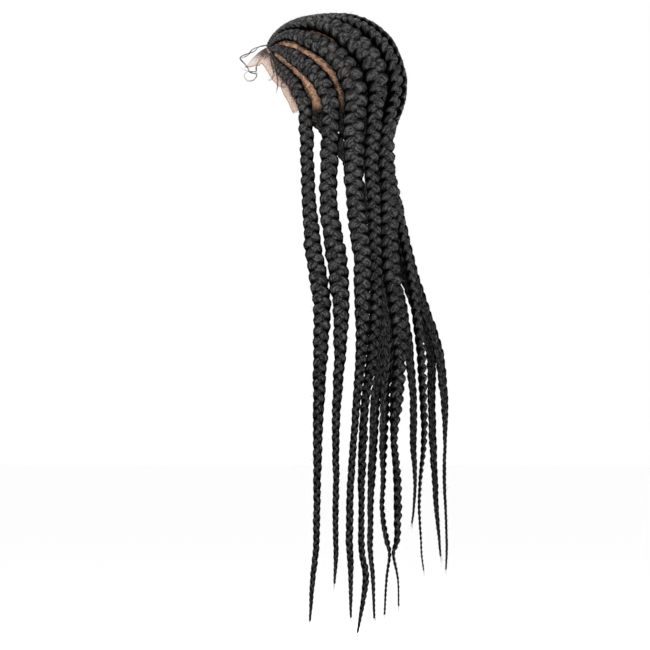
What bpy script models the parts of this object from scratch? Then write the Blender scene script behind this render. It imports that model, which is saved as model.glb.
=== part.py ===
"""Braid wig: a lace cap with cornrows that run on as long hanging plaits.

Metres, +Z up. The wearer looks along -Y and the wearer's left is +X.
The origin is the inside of the crown, where the cap sits on the head.
"""

import math

import bpy
import numpy as np

# Head form inside the cap
HEAD_HALF_LENGTH = 0.1005
HEAD_BACK_LENGTH = 0.0938
HEAD_HALF_WIDTH = 0.0755
CROWN_HEIGHT = 0.0955
FRONT_ROUNDNESS = 2.85
SIDE_ROUNDNESS = 2.30
BACK_ROUNDNESS = 2.16
PLAN_ROUNDNESS = 2.25
BACK_BROADER = 0.05
NAPE_TUCK = 0.50

# Lace cap
CAP_WALL = 0.0012
CAP_ROWS = 8
SEAT_GAP = 0.0003

# Edge of the cap: azimuth from the forehead, elevation above the widest level, in degrees
CAP_EDGE = (
    (0, 31.5),
    (20, 25.5),
    (33, 10.0),
    (42, 3.5),
    (46, -5.0),
    (51, -13.0),
    (55, -22.0),
    (59, -28.0),
    (68, -28.5),
    (90, -26.5),
    (106, -27.5),
    (127, -31.0),
    (150, -36.0),
    (180, -40.0),
)

# Columns of the cap's wall between the edge's corners, in degrees
CAP_COLUMNS = (
    0, 10, 20, 27, 33, 38, 42, 46, 51, 55, 59, 68,
    79, 90, 98, 106, 116, 127, 138, 150, 160, 170, 180,
)

# Lace front: a strip sewn to the front edge, which lifts off the forehead in the middle
LACE_WALL = 0.0010
LACE_END_AZIMUTH = 56.0
LACE_COLUMNS = 24
LACE_ROWS = 3
LACE_GAP = 0.0005
LACE_WIDTH_MIDDLE = 0.034
LACE_WIDTH_SIDE = 0.012
LACE_LIFT_MIDDLE = 0.026
LACE_LIFT_ANGLE = 17.0

# Plait form
ROW_5_BETWEEN = 0.45
CORNROW_THICKNESS = 0.52
HANG_THICKNESS = 0.60
START_INSET = 2.5
LOBE_STEP = 0.0080
LOBE_SHIFT = 0.085
LOWER_STEP = 0.0255
RING = ((1, 0), (0.52, 1), (-0.52, 1), (-1, 0), (-0.52, -1), (0.52, -1))
LOBED_DOWN_TO = -0.290
PARTING_GAP = 0.0004  # between a cornrow and the braid that it runs on as

# Cornrow paths on the wearer's left in side view: y, z in millimetres
ROW_1 = ((-80.9, -62.6), (-72.6, -72.9), (-62.5, -84.5), (-52.5, -97), (-45, -111), (-38.5, -124))
ROW_2 = (
    (-79, -42.6), (-68, -46), (-55, -55), (-40, -65.5), (-25, -79), (-11.5, -94.5), (-5, -110),
    (-0.5, -127),
)
ROW_3 = (
    (-78, -28),
    (-62, -22),
    (-43, -26.5),
    (-22, -35),
    (-3.5, -46),
    (15.5, -62.5),
    (28, -83),
    (34, -104),
    (36, -126),
)
ROW_4 = (
    (-75, -17), (-60, -10), (-46, -7), (-28, -7), (0, -12), (15, -21), (32, -34), (47, -48),
    (60, -72), (66.5, -98), (65, -124),
)

# Where each of the four starts at the front edge: azimuth in degrees
START_AZIMUTH = (21.0, 16.5, 12.3, 8.2)

# Middle cornrow over the crown: y, z in millimetres
ROW_MIDDLE = (
    (-92, -28),
    (-72, -8),
    (-45, 4),
    (-10, 9),
    (30, 6),
    (62, -10),
    (88, -40),
    (104, -78),
    (102, -112),
    (90, -150),
)

# Heights of the stations on the hanging part, in millimetres
STATIONS = (-191, -265, -338, -412, -485, -559, -617, -676, -720, -764, -786, -823)

# Plait: (cornrow, side, y at each station (0 past its tip), tip (y, z), x (top, middle, tip),
# facing in degrees)
PLAITS = {
    "left_1": (
        1, 1, (-35, -32, -26, -14, -15.5, -18, -19, -20.5, -20.6, -21.5, -22.8, -27),
        (-31, -883), (80, 84, 78), 0,
    ),
    "left_2": (
        2, 1, (-2, -3.5, 5.5, 14, 13.5, 8.5, 7, 7.3, 6.8, 7, 7.4, 5),
        (5, -828), (84, 88, 84), 0,
    ),
    "left_3": (
        3, 1, (33, 35, 45, 46.5, 44.5, 38, 33.5, 29, 27.5, 27, 27.9, 29),
        (29, -878), (83, 87, 80), 4,
    ),
    "left_4": (
        4, 1, (59, 62, 64, 66, 60.5, 51, 47, 45, 44.5, 44.6, 45.6, 51),
        (39, -901), (71, 66, 60), 16,
    ),
    "left_5": (
        5, 1, (81, 83, 85, 94, 100, 96, 92.6, 97.5, 98, 97, 92, 98.5),
        (99.5, -862), (44, 43, 40), 30,
    ),
    "middle": (
        6, 0, (80, 95, 110, 122, 132, 135.5, 137, 131.6, 130, 132.5, 133.5, 0),
        (136.5, -810), (0, 0, 4), 50,
    ),
    "right_5": (
        5, -1, (80, 84, 84, 85, 86, 80, 77.5, 77, 75.5, 81.5, 86.5, 82),
        (79, -876), (44, 40, 36), 40,
    ),
    "right_4": (
        4, -1, (60, 63, 68, 75, 75, 66, 63, 60, 58.5, 58, 58.3, 62),
        (64, -882), (67, 58, 54), 14,
    ),
    "right_3": (
        3, -1, (70, 94, 110, 133.5, 158, 167.5, 168.5, 167.5, 169.5, 171, 171, 0),
        (170, -810), (87, 79, 66), 0,
    ),
    "right_2": (
        2, -1, (42, 77, 97, 122, 147, 149, 150.5, 153.5, 156, 160, 0, 0),
        (162, -791), (94, 98, 80), 0,
    ),
    "right_1": (
        1, -1, (18, 50, 76, 103, 115, 121.5, 121.5, 124.3, 122.3, 0, 0, 0),
        (119.5, -742), (82, 80, 70), 0,
    ),
}

# Width of each cornrow in millimetres at the front edge and at each fifth of its run but the last
ROW_WIDTHS = (
    (4.6, 8.5, 15.5, 17.5, 20.0),
    (5.2, 13.0, 22.0, 24.5, 25.0),
    (5.8, 15.5, 24.5, 30.5, 35.0),
    (5.8, 16.0, 27.0, 35.0, 36.0),
    (5.8, 12.5, 19.5, 25.0, 28.0),
    (5.8, 12.5, 20.0, 27.0, 28.0),
)

# Width of each plait in millimetres: at the cap's edge, at each station, at the tip
WIDTHS = {
    "left_1": (20, 19, 19.5, 24, 25.5, 21, 16.5, 13.5, 11, 10, 9, 8.5, 7.5, 3),
    "left_2": (25.5, 25, 24, 28.5, 24.5, 17.5, 12.5, 10.5, 9, 8.8, 7.5, 7, 5, 3),
    "left_3": (31, 29, 26.5, 25.5, 23.5, 16.5, 11.5, 10, 10, 10.5, 10, 9.5, 7, 3),
    "left_4": (25, 22, 19.5, 18.5, 18, 16.5, 12.5, 12.3, 10.5, 9, 9, 9, 9, 3),
    "left_5": (26, 25, 26, 27.5, 25, 21.5, 20, 10.5, 11.5, 11.7, 9, 5.2, 3, 2.4),
    "middle": (28, 22, 19, 15, 14, 15.5, 13, 10, 6.5, 5, 3.6, 3.2, 3, 2.4),
    "right_5": (28, 21, 19, 18, 17.5, 16, 15, 13, 8.5, 7.5, 8.4, 5.2, 4, 3),
    "right_4": (27, 21, 19, 18, 17, 15.5, 14, 12.5, 11, 8.5, 8.3, 7.4, 6, 3),
    "right_3": (27, 20, 19, 19, 15, 14, 11, 5.5, 5, 4, 3.6, 3.2, 3, 2.4),
    "right_2": (25, 19, 18, 18, 15, 14, 11, 10.8, 8.6, 7, 4.2, 3, 3, 2.4),
    "right_1": (21, 19, 18, 16, 14, 13, 10.3, 10, 5.5, 3.6, 3, 3, 3, 2.4),
}

LACE_COLOUR = (0.42, 0.24, 0.14, 1)
HAIR_COLOUR = (0.012, 0.011, 0.011, 1)


def roundness(azimuth):
    """How square the head's outline is from the crown down, front to back."""
    c = math.cos(azimuth)
    if c >= 0:
        return SIDE_ROUNDNESS + (FRONT_ROUNDNESS - SIDE_ROUNDNESS) * c
    return SIDE_ROUNDNESS + (BACK_ROUNDNESS - SIDE_ROUNDNESS) * -c


def plan_radius(azimuth):
    """Radius of the head at its widest level; azimuth 0 is the forehead, the back is broader."""
    s = abs(math.sin(azimuth))
    c = math.cos(azimuth)
    width = HEAD_HALF_WIDTH * (1 - BACK_BROADER * c)
    p = PLAN_ROUNDNESS
    length = HEAD_HALF_LENGTH if c >= 0 else HEAD_BACK_LENGTH
    return ((s / width) ** p + (abs(c) / length) ** p) ** (-1 / p)


def head_point(azimuth, elevation):
    """Point of the head form in a direction from the middle of its widest level."""
    r = plan_radius(azimuth)
    if elevation >= 0:
        n = roundness(azimuth)
        ce = math.cos(elevation)
        se = math.sin(elevation)
        s = ((ce / r) ** n + (se / CROWN_HEIGHT) ** n) ** (-1 / n)
        rho = s * ce
        up = s * se
    else:
        tuck = NAPE_TUCK * math.sin(azimuth / 2) ** 2
        slope = math.tan(elevation)
        a = tuck * r * (slope / CROWN_HEIGHT) ** 2
        rho = r if a < 1e-9 else (math.sqrt(1 + 4 * a * r) - 1) / (2 * a)
        up = rho * slope
    return np.array((math.sin(azimuth) * rho, -math.cos(azimuth) * rho, up - CROWN_HEIGHT))


def head_normal(azimuth, elevation):
    """Outward direction of the head form."""
    d = 0.01
    across = head_point(azimuth + d, elevation) - head_point(azimuth - d, elevation)
    top = min(elevation + d, math.radians(89.9))
    up = head_point(azimuth, top) - head_point(azimuth, top - 2 * d)
    n = np.cross(across, up)
    return n / np.linalg.norm(n)


def direction_of(point):
    """Azimuth and elevation of a point from the middle of the widest level."""
    x, y, z = point[0], point[1], point[2] + CROWN_HEIGHT
    return math.atan2(x, -y), math.atan2(z, math.hypot(x, y))


def on_side(y, z, lift):
    """Direction of the point, lifted off the left side of the head, seen from the side at y and z."""
    aim_y = y
    aim_z = z
    found = (0.0, 0.0)
    for _ in range(6):
        low = 0.0005
        high = math.pi - 0.0005
        for _ in range(30):
            azimuth = (low + high) / 2
            elevation = elevation_at(azimuth, aim_z)
            if head_point(azimuth, elevation)[1] < aim_y:
                low = azimuth
            else:
                high = azimuth
        found = (azimuth, elevation)
        lifted = head_point(*found) + lift * head_normal(*found)
        aim_y += 0.8 * (y - lifted[1])
        aim_z += 0.8 * (z - lifted[2])
        aim_z = min(aim_z, -0.0004)
    return found


def elevation_at(azimuth, z):
    """Elevation at which the head form has the height z."""
    low = math.radians(-60)
    high = math.radians(89.99)
    for _ in range(30):
        middle = (low + high) / 2
        if head_point(azimuth, middle)[2] < z:
            low = middle
        else:
            high = middle
    return (low + high) / 2


def through(points, count):
    """Catmull-Rom curve through points, as count even steps of its length."""
    p = np.array(points, float)
    p = np.vstack((2 * p[0] - p[1], p, 2 * p[-1] - p[-2]))
    fine = []
    for i in range(1, len(p) - 2):
        for t in np.linspace(0, 1, 24, endpoint=False):
            a = 2 * p[i]
            b = (p[i + 1] - p[i - 1]) * t
            c = (2 * p[i - 1] - 5 * p[i] + 4 * p[i + 1] - p[i + 2]) * t * t
            d = (3 * p[i] - p[i - 1] - 3 * p[i + 1] + p[i + 2]) * t ** 3
            fine.append((a + b + c + d) / 2)
    fine.append(p[-2])
    fine = np.array(fine)
    run = np.concatenate(((0,), np.cumsum(np.linalg.norm(np.diff(fine[:, :3], axis=0), axis=1))))
    at = np.linspace(0, run[-1], count)
    return np.column_stack([np.interp(at, run, fine[:, k]) for k in range(fine.shape[1])])


def side_row(row):
    """Feet of a side cornrow on the head form, from its places in side view."""
    start = START_AZIMUTH[row - 1]
    elevation = edge_elevation(start) + math.radians(START_INSET)
    feet = [head_point(math.radians(start), elevation)]
    table = (ROW_1, ROW_2, ROW_3, ROW_4)[row - 1]
    last = len(table) - 1
    for i, (y, z) in enumerate(table):
        lift = CAP_WALL + SEAT_GAP + 0.003 + 0.004 * min(1, 2 * i / last)
        feet.append(head_point(*on_side(y / 1000, z / 1000, lift)))
    return through(feet, 41)


def middle_row():
    """Feet of the middle cornrow, along the head form's middle line."""
    feet = []
    for y, z in ROW_MIDDLE:
        azimuth, elevation = direction_of((0, y / 1000, z / 1000))
        feet.append(head_point(azimuth, elevation))
    return through(feet, 41)


def cornrow_feet(row):
    """Feet of a cornrow on the wearer's left; row 5 lies between row 4 and the middle."""
    if row == 6:
        return middle_row()
    if row == 5:
        between = side_row(4) * (1 - ROW_5_BETWEEN) + middle_row() * ROW_5_BETWEEN
        return np.array([head_point(*direction_of(p)) for p in between])
    return side_row(row)


def unit(v):
    return v / np.linalg.norm(v, axis=-1, keepdims=True)


def plait_path(name):
    """Samples of a plait: centre, outward direction, width and thickness."""
    row, side, ys, tip, xs, facing = PLAITS[name]
    widths = np.array(WIDTHS[name]) / 1000
    feet = cornrow_feet(row)
    samples = []
    for i, foot in enumerate(feet):
        f = i / (len(feet) - 1)
        width = np.interp(f, np.linspace(0, 1, 6), (*ROW_WIDTHS[row - 1], 1000 * widths[0])) / 1000
        normal = head_normal(*direction_of(foot))
        thick = width * (CORNROW_THICKNESS + 0.1 * max(0, f - 0.7) / 0.3)
        centre = foot + normal * (CAP_WALL + SEAT_GAP + thick / 2)
        samples.append((*centre, *normal, width, thick))
    turn = math.radians(facing)
    out = (math.cos(turn), math.sin(turn), 0.0)
    heights = np.array((*STATIONS, tip[1])) / 1000
    heights = heights[(heights > tip[1] / 1000 + 0.02) | (heights == tip[1] / 1000)]
    for i, z in enumerate(heights):
        last = i == len(heights) - 1
        y = (tip[0] if last else ys[i]) / 1000
        x = np.interp(z, (tip[1] / 1000, -0.412, -0.191), (xs[2] / 1000, xs[1] / 1000, xs[0] / 1000))
        width = widths[-1] if last else widths[i + 1]
        samples.append((x, y, z, *out, width, width * HANG_THICKNESS))
    on_cap = samples[: len(feet)]
    path = through(on_cap[:-1:2] + [on_cap[-1]] + samples[len(feet) :], 900)
    path[:, 3:6] = unit(path[:, 3:6])
    if side < 0:
        path[:, 0] *= -1
        path[:, 3] *= -1
    return path


def buried(point):
    """How far a point would have to rise to clear the cap's wall and the small gap."""
    azimuth, elevation = direction_of(point)
    if elevation < edge_elevation(math.degrees(azimuth)) - 0.06:
        return 0
    foot = head_point(azimuth, elevation)
    rise = (np.array(point) - foot) @ head_normal(azimuth, elevation)
    return CAP_WALL + SEAT_GAP - rise


def plait_rings(path):
    """Six-sided rings along a plait, stepped left and right as its lobes are."""
    run = np.concatenate(((0,), np.cumsum(np.linalg.norm(np.diff(path[:, :3], axis=0), axis=1))))
    stops = [0.0]
    while True:
        z = np.interp(stops[-1], run, path[:, 2])
        lobed = z > LOBED_DOWN_TO
        stops.append(stops[-1] + (LOBE_STEP if lobed else LOWER_STEP))
        if stops[-1] > run[-1] - 0.6 * LOBE_STEP:
            break
    stops[-1] = run[-1]
    rings = []
    for i, s in enumerate(stops):
        row = np.array([np.interp(s, run, path[:, k]) for k in range(path.shape[1])])
        ahead = np.array([np.interp(min(s + 0.002, run[-1]), run, path[:, k]) for k in range(3)])
        behind = np.array([np.interp(max(s - 0.002, 0), run, path[:, k]) for k in range(3)])
        along = unit(ahead - behind)
        out = unit(row[3:6] - along * (row[3:6] @ along))
        across = np.cross(out, along)
        half = row[6] / 2
        deep = row[7] / 2
        shift = LOBE_SHIFT * row[6] * (1 if i % 2 else -1)
        if i == 0 or i == len(stops) - 1:
            shift = 0
        centre = row[:3] + across * shift
        half -= abs(shift) * 0.6
        ring = [centre + across * half * a + out * deep * b for a, b in RING]
        raised = max(0, max(buried(p) for p in ring))
        rings += [p + out * raised for p in ring]
    return np.array(rings).reshape(-1, 6, 3)


def add_mesh(name, points, faces, material, collection):
    mesh = bpy.data.meshes.new(name)
    mesh.from_pydata([tuple(p) for p in points], [], faces)
    mesh.update()
    mesh.materials.append(material)
    obj = bpy.data.objects.new(name, mesh)
    collection.objects.link(obj)
    return obj


def add_rod(name, rings, material, collection):
    """A closed rod through six-sided rings."""
    count = len(rings)
    faces = [tuple(reversed(range(6)))]
    for i in range(count - 1):
        for j in range(6):
            k = (j + 1) % 6
            a = i * 6
            b = a + 6
            faces.append((a + j, a + k, b + k, b + j))
    faces.append(tuple((count - 1) * 6 + j for j in range(6)))
    add_mesh(name, rings.reshape(-1, 3), faces, material, collection)


def make_plait(place, material, collection):
    """A plait in two solids that meet where it leaves the cap: the cornrow and the hanging braid."""
    rings = plait_rings(plait_path(place))
    parting = 0
    for i, ring in enumerate(rings):
        azimuth, elevation = direction_of(ring.mean(axis=0))
        if elevation > edge_elevation(math.degrees(azimuth)) - 0.02:
            parting = i
    below = rings[parting + 1] - rings[parting]
    first = rings[parting] + below * PARTING_GAP / LOBE_STEP
    add_rod("cornrow_" + place, rings[: parting + 1], material, collection)
    add_rod("braid_" + place, np.vstack((first[None], rings[parting + 1 :])), material, collection)


def edge_elevation(azimuth_degrees):
    table = np.array(CAP_EDGE, float)
    return math.radians(np.interp(abs(azimuth_degrees), table[:, 0], table[:, 1]))


def make_cap(material, collection):
    """The cap's wall: rows from the crown to the edge, inside and outside."""
    columns = list(CAP_COLUMNS) + [-a for a in reversed(CAP_COLUMNS[1:-1])]
    count = len(columns)
    points = []
    for wall in (0, CAP_WALL):
        points.append((0, 0, wall))
        for row in range(1, CAP_ROWS + 1):
            for degrees in columns:
                azimuth = math.radians(degrees)
                low = edge_elevation(degrees)
                elevation = math.radians(90) + (low - math.radians(90)) * row / CAP_ROWS
                foot = head_point(azimuth, elevation)
                points.append(foot + wall * head_normal(azimuth, elevation))
    layer = 1 + CAP_ROWS * count
    faces = []
    for side in (0, 1):
        base = side * layer
        for j in range(count):
            k = (j + 1) % count
            tri = (base, base + 1 + j, base + 1 + k)
            faces.append(tri if side else tri[::-1])
            for row in range(CAP_ROWS - 1):
                a = base + 1 + row * count
                b = a + count
                quad = (a + j, b + j, b + k, a + k)
                faces.append(quad if side else quad[::-1])
    for j in range(count):
        k = (j + 1) % count
        a = 1 + (CAP_ROWS - 1) * count
        b = a + layer
        faces.append((a + j, a + k, b + k, b + j))
    add_mesh("lace_cap", points, faces, material, collection)


def edge_point(degrees):
    """Point of the head form under the cap's edge."""
    return head_point(math.radians(degrees), edge_elevation(degrees))


def lace_point(degrees, fraction, wall):
    """Point of the lace front; fraction runs from the cap's edge to the free edge."""
    azimuth = math.radians(degrees)
    middle = math.exp(-((degrees / LACE_LIFT_ANGLE) ** 2))
    width = LACE_WIDTH_SIDE + (LACE_WIDTH_MIDDLE - LACE_WIDTH_SIDE) * middle
    edge = edge_point(degrees)
    along = unit(edge_point(degrees + 2.5) - edge_point(degrees - 2.5))
    forward = np.cross(along, head_normal(azimuth, edge_elevation(degrees)))
    place = direction_of(edge + forward * (LACE_GAP + width * fraction))
    lift = LACE_LIFT_MIDDLE * middle * fraction ** 0.9
    return head_point(*place) + head_normal(*place) * (lift + wall)


def make_lace_front(material, collection):
    """The lace strip in front of the cap's edge, as a thin wall."""
    points = []
    for wall in (0, LACE_WALL):
        for row in range(LACE_ROWS + 1):
            for i in range(LACE_COLUMNS + 1):
                degrees = LACE_END_AZIMUTH * (2 * i / LACE_COLUMNS - 1)
                points.append(lace_point(degrees, row / LACE_ROWS, wall))
    wide = LACE_COLUMNS + 1
    layer = wide * (LACE_ROWS + 1)
    faces = []
    for row in range(LACE_ROWS):
        for i in range(LACE_COLUMNS):
            a = row * wide + i
            quad = (a, a + 1, a + wide + 1, a + wide)
            faces.append(quad)
            faces.append(tuple(v + layer for v in reversed(quad)))
    rim = [i for i in range(wide)]
    rim += [row * wide + wide - 1 for row in range(1, LACE_ROWS + 1)]
    rim += [LACE_ROWS * wide + i for i in range(wide - 2, -1, -1)]
    rim += [row * wide for row in range(LACE_ROWS - 1, 0, -1)]
    for i, a in enumerate(rim):
        b = rim[(i + 1) % len(rim)]
        faces.append((b, a, a + layer, b + layer))
    add_mesh("lace_front", points, faces, material, collection)


def principled(name, colour, roughness_value):
    material = bpy.data.materials.new(name)
    material.use_nodes = True
    shader = material.node_tree.nodes["Principled BSDF"]
    shader.inputs["Base Color"].default_value = colour
    shader.inputs["Roughness"].default_value = roughness_value
    material.diffuse_color = colour
    return material


for old in list(bpy.data.objects):
    bpy.data.objects.remove(old, do_unlink=True)

wig = bpy.data.collections.new("braid_wig")
bpy.context.scene.collection.children.link(wig)
make_cap(principled("cap_lace", LACE_COLOUR, 0.8), wig)
make_lace_front(principled("front_lace", LACE_COLOUR, 0.7), wig)
for plait in PLAITS:
    make_plait(plait, principled(plait + "_hair", HAIR_COLOUR, 0.6), wig)
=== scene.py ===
"""Braid wig: a lace cap and lace front, with eleven plaits sewn down as cornrows and left to hang.

Metres, +Z up. The wearer looks along -Y and the wearer's left is +X.
The origin is the inside of the crown.
"""

import math

import bpy
import numpy as np
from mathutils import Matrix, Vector


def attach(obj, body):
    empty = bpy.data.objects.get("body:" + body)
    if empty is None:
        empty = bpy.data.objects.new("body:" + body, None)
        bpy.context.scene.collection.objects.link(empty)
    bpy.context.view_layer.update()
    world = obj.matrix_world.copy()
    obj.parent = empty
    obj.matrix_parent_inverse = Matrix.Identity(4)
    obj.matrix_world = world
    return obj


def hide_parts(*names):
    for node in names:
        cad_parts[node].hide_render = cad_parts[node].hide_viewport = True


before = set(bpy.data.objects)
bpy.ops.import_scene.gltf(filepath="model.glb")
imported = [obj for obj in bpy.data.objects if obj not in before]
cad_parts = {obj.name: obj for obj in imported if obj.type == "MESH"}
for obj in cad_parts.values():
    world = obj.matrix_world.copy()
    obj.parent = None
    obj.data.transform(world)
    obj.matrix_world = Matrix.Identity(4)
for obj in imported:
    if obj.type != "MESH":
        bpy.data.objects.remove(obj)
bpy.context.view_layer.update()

# Studio: a pale floor under the hanging tips, white air around, and large soft lights.
# The camera looks at the wearer's left side, level, through a long lens.
FLOOR_HEIGHT = -0.965
FLOOR_REACH = 30
FLOOR_WHITE = (0.98, 0.98, 0.98, 1)
LAMPS_AIM = (0, 0, -0.35)
CAMERA_PLACE = (20.045, -0.0088, -0.4487)
SENSOR_WIDTH = 36

# The picture is PICTURE_HEIGHT tall on the upright plane at x = PICTURE_PLANE
PICTURE_HEIGHT = 0.9555
PICTURE_PLANE = 0.045

floor_mesh = bpy.data.meshes.new("studio_floor")
corners = ((-1, -1), (1, -1), (1, 1), (-1, 1))
floor_mesh.from_pydata(
    [(x * FLOOR_REACH, y * FLOOR_REACH, FLOOR_HEIGHT) for x, y in corners], [], [(0, 1, 2, 3)]
)
floor = bpy.data.objects.new("studio_floor", floor_mesh)
bpy.context.scene.collection.objects.link(floor)
floor_paint = bpy.data.materials.new("pale_floor")
floor_paint.use_nodes = True
paint = floor_paint.node_tree.nodes["Principled BSDF"].inputs
paint["Base Color"].default_value = FLOOR_WHITE
paint["Roughness"].default_value = 0.9
paint["Specular IOR Level"].default_value = 0.1
floor_mesh.materials.append(floor_paint)

air = bpy.data.worlds.new("pale_air")
air.use_nodes = True
air.node_tree.nodes["Background"].inputs["Color"].default_value = (1.0, 1.0, 1.0, 1)
air.node_tree.nodes["Background"].inputs["Strength"].default_value = 1.0
bpy.context.scene.world = air

# Lamp: name, place, side in metres, power in watts
for name, place, side, power in (
    ("key_softbox", (2.6, -2.2, 1.3), 1.8, 95.0),
    ("fill_softbox", (2.6, 2.4, 0.2), 2.0, 45.0),
    ("top_softbox", (-0.4, 0.2, 2.4), 2.0, 50.0),
    ("far_softbox", (-2.8, -1.0, 0.6), 2.0, 60.0),
):
    lamp = bpy.data.lights.new(name, "AREA")
    lamp.shape = "SQUARE"
    lamp.size = side
    lamp.energy = power
    lamp_object = bpy.data.objects.new(name, lamp)
    lamp_object.location = place
    lamp_object.rotation_euler = (Vector(place) - Vector(LAMPS_AIM)).to_track_quat("Z", "Y").to_euler()
    bpy.context.scene.collection.objects.link(lamp_object)

camera_data = bpy.data.cameras.new("side_camera")
camera_data.sensor_width = SENSOR_WIDTH
camera_data.lens = SENSOR_WIDTH * (CAMERA_PLACE[0] - PICTURE_PLANE) / PICTURE_HEIGHT
camera_data.clip_end = 100
camera = bpy.data.objects.new("side_camera", camera_data)
camera.location = CAMERA_PLACE
camera.rotation_euler = (math.radians(90), 0, math.radians(90))
bpy.context.scene.collection.objects.link(camera)
bpy.context.scene.camera = camera
bpy.context.scene.view_settings.view_transform = "Standard"


# Lace cap. A dome of tan cotton lace net on an adult head form, cut along the hairline, over
# the ears and round the nape. The hair is knotted through it one pinch at a time, so the net
# shows in the partings as tan mesh with small dark knots. Its cut edge is turned and oversewn.
HEAD_HALF_LENGTH = 0.1005
HEAD_BACK_LENGTH = 0.0938
HEAD_HALF_WIDTH = 0.0755
CROWN_HEIGHT = 0.0955
FRONT_ROUNDNESS = 2.85
SIDE_ROUNDNESS = 2.30
BACK_ROUNDNESS = 2.16
PLAN_ROUNDNESS = 2.25
BACK_BROADER = 0.05
NAPE_TUCK = 0.50
CAP_WALL = 0.0012
CAP_HEM = 0.0004
CAP_ROWS = 44
CAP_TURN = 120
CAP_HOLES_PER_METRE = 950.0

# The net in shade and in light, its threads, the knots, and the near-black along its lower edge
CAP_SHADE = (0.13, 0.055, 0.028, 1)
CAP_LIGHT = (0.52, 0.27, 0.155, 1)
CAP_THREAD = (0.62, 0.40, 0.27, 1)
CAP_KNOT = (0.035, 0.022, 0.016, 1)
EDGE_DARK = (0.006, 0.005, 0.0045, 1)

# The lower edge goes near-black between these azimuths, in degrees, and between these shares of the rows
EDGE_DARK_FROM = (58, 68)
EDGE_DARK_ROWS = (0.93, 0.99)

# The cap's edge: azimuth from the forehead, elevation above the widest level, in degrees
CAP_EDGE = (
    (0, 31.5), (20, 25.5), (33, 10.0), (42, 3.5), (46, -5.0), (51, -13.0), (55, -22.0), (59, -28.0),
    (68, -28.5), (90, -26.5), (106, -27.5), (127, -31.0), (150, -36.0), (180, -40.0),
)


def roundness(azimuth):
    """How square the head's outline is from the crown down, front to back."""
    c = math.cos(azimuth)
    if c >= 0:
        return SIDE_ROUNDNESS + (FRONT_ROUNDNESS - SIDE_ROUNDNESS) * c
    return SIDE_ROUNDNESS + (BACK_ROUNDNESS - SIDE_ROUNDNESS) * -c


def plan_radius(azimuth):
    """Radius of the head at its widest level; azimuth 0 is the forehead, the back is broader."""
    s = abs(math.sin(azimuth))
    c = math.cos(azimuth)
    width = HEAD_HALF_WIDTH * (1 - BACK_BROADER * c)
    length = HEAD_HALF_LENGTH if c >= 0 else HEAD_BACK_LENGTH
    return ((s / width) ** PLAN_ROUNDNESS + (abs(c) / length) ** PLAN_ROUNDNESS) ** (-1 / PLAN_ROUNDNESS)


def head_point(azimuth, elevation):
    """Point of the head form in a direction from the middle of its widest level."""
    r = plan_radius(azimuth)
    if elevation >= 0:
        n = roundness(azimuth)
        ce = math.cos(elevation)
        se = math.sin(elevation)
        s = ((ce / r) ** n + (se / CROWN_HEIGHT) ** n) ** (-1 / n)
        rho = s * ce
        up = s * se
    else:
        tuck = NAPE_TUCK * math.sin(azimuth / 2) ** 2
        slope = math.tan(elevation)
        a = tuck * r * (slope / CROWN_HEIGHT) ** 2
        rho = r if a < 1e-9 else (math.sqrt(1 + 4 * a * r) - 1) / (2 * a)
        up = rho * slope
    return np.array((math.sin(azimuth) * rho, -math.cos(azimuth) * rho, up - CROWN_HEIGHT))


def head_normal(azimuth, elevation):
    """Outward direction of the head form."""
    d = 0.01
    across = head_point(azimuth + d, elevation) - head_point(azimuth - d, elevation)
    top = min(elevation + d, math.radians(89.9))
    up = head_point(azimuth, top) - head_point(azimuth, top - 2 * d)
    n = np.cross(across, up)
    return n / np.linalg.norm(n)


def direction_of(point):
    """Azimuth and elevation of a point from the middle of the widest level."""
    x, y, z = point[0], point[1], point[2] + CROWN_HEIGHT
    return math.atan2(x, -y), math.atan2(z, math.hypot(x, y))


def edge_elevation(azimuth_degrees):
    """Elevation of the cap's edge at an azimuth, in radians."""
    table = np.array(CAP_EDGE, float)
    return math.radians(np.interp(abs(azimuth_degrees), table[:, 0], table[:, 1]))


def unit(v):
    """Vectors brought to length 1."""
    return v / np.linalg.norm(v, axis=-1, keepdims=True)


def add_piece(name, points, faces, material=None, edges=()):
    """An object from points and faces, shaded smooth, or from points and edges alone."""
    mesh = bpy.data.meshes.new(name)
    mesh.from_pydata([tuple(p) for p in points], list(edges), faces)
    mesh.update()
    if material:
        mesh.materials.append(material)
        mesh.polygons.foreach_set("use_smooth", [True] * len(mesh.polygons))
    made = bpy.data.objects.new(name, mesh)
    bpy.context.scene.collection.objects.link(made)
    return made


def add_attribute(piece, name, kind, values):
    """A number or vector on each point of a piece's mesh."""
    layer = piece.data.attributes.new(name, kind, "POINT")
    part = "vector" if kind == "FLOAT_VECTOR" else "value"
    layer.data.foreach_set(part, np.asarray(values, np.float32).ravel())


def node(tree, kind, inputs=None, **settings):
    """A node with its settings; each input is set to a value or joined to another node's output."""
    made = tree.nodes.new(kind)
    for key, value in settings.items():
        setattr(made, key, value)
    for key, value in (inputs or {}).items():
        if isinstance(value, bpy.types.NodeSocket):
            tree.links.new(value, made.inputs[key])
        else:
            made.inputs[key].default_value = value
    return made


def math_node(tree, operation, a, b=0.0, c=0.0):
    return node(tree, "ShaderNodeMath", {0: a, 1: b, 2: c}, operation=operation).outputs[0]


def vector_node(tree, operation, a, b=(0.0, 0.0, 0.0)):
    second = "Scale" if operation == "SCALE" else 1
    made = node(tree, "ShaderNodeVectorMath", {0: a, second: b}, operation=operation)
    return made.outputs["Value" if operation == "DOT_PRODUCT" else "Vector"]


def mapped(tree, value, low, high, to_low=0.0, to_high=1.0, kind="LINEAR"):
    """A value between low and high as a number between to_low and to_high."""
    ends = {0: value, 1: low, 2: high, 3: to_low, 4: to_high}
    return node(tree, "ShaderNodeMapRange", ends, interpolation_type=kind).outputs[0]


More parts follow.
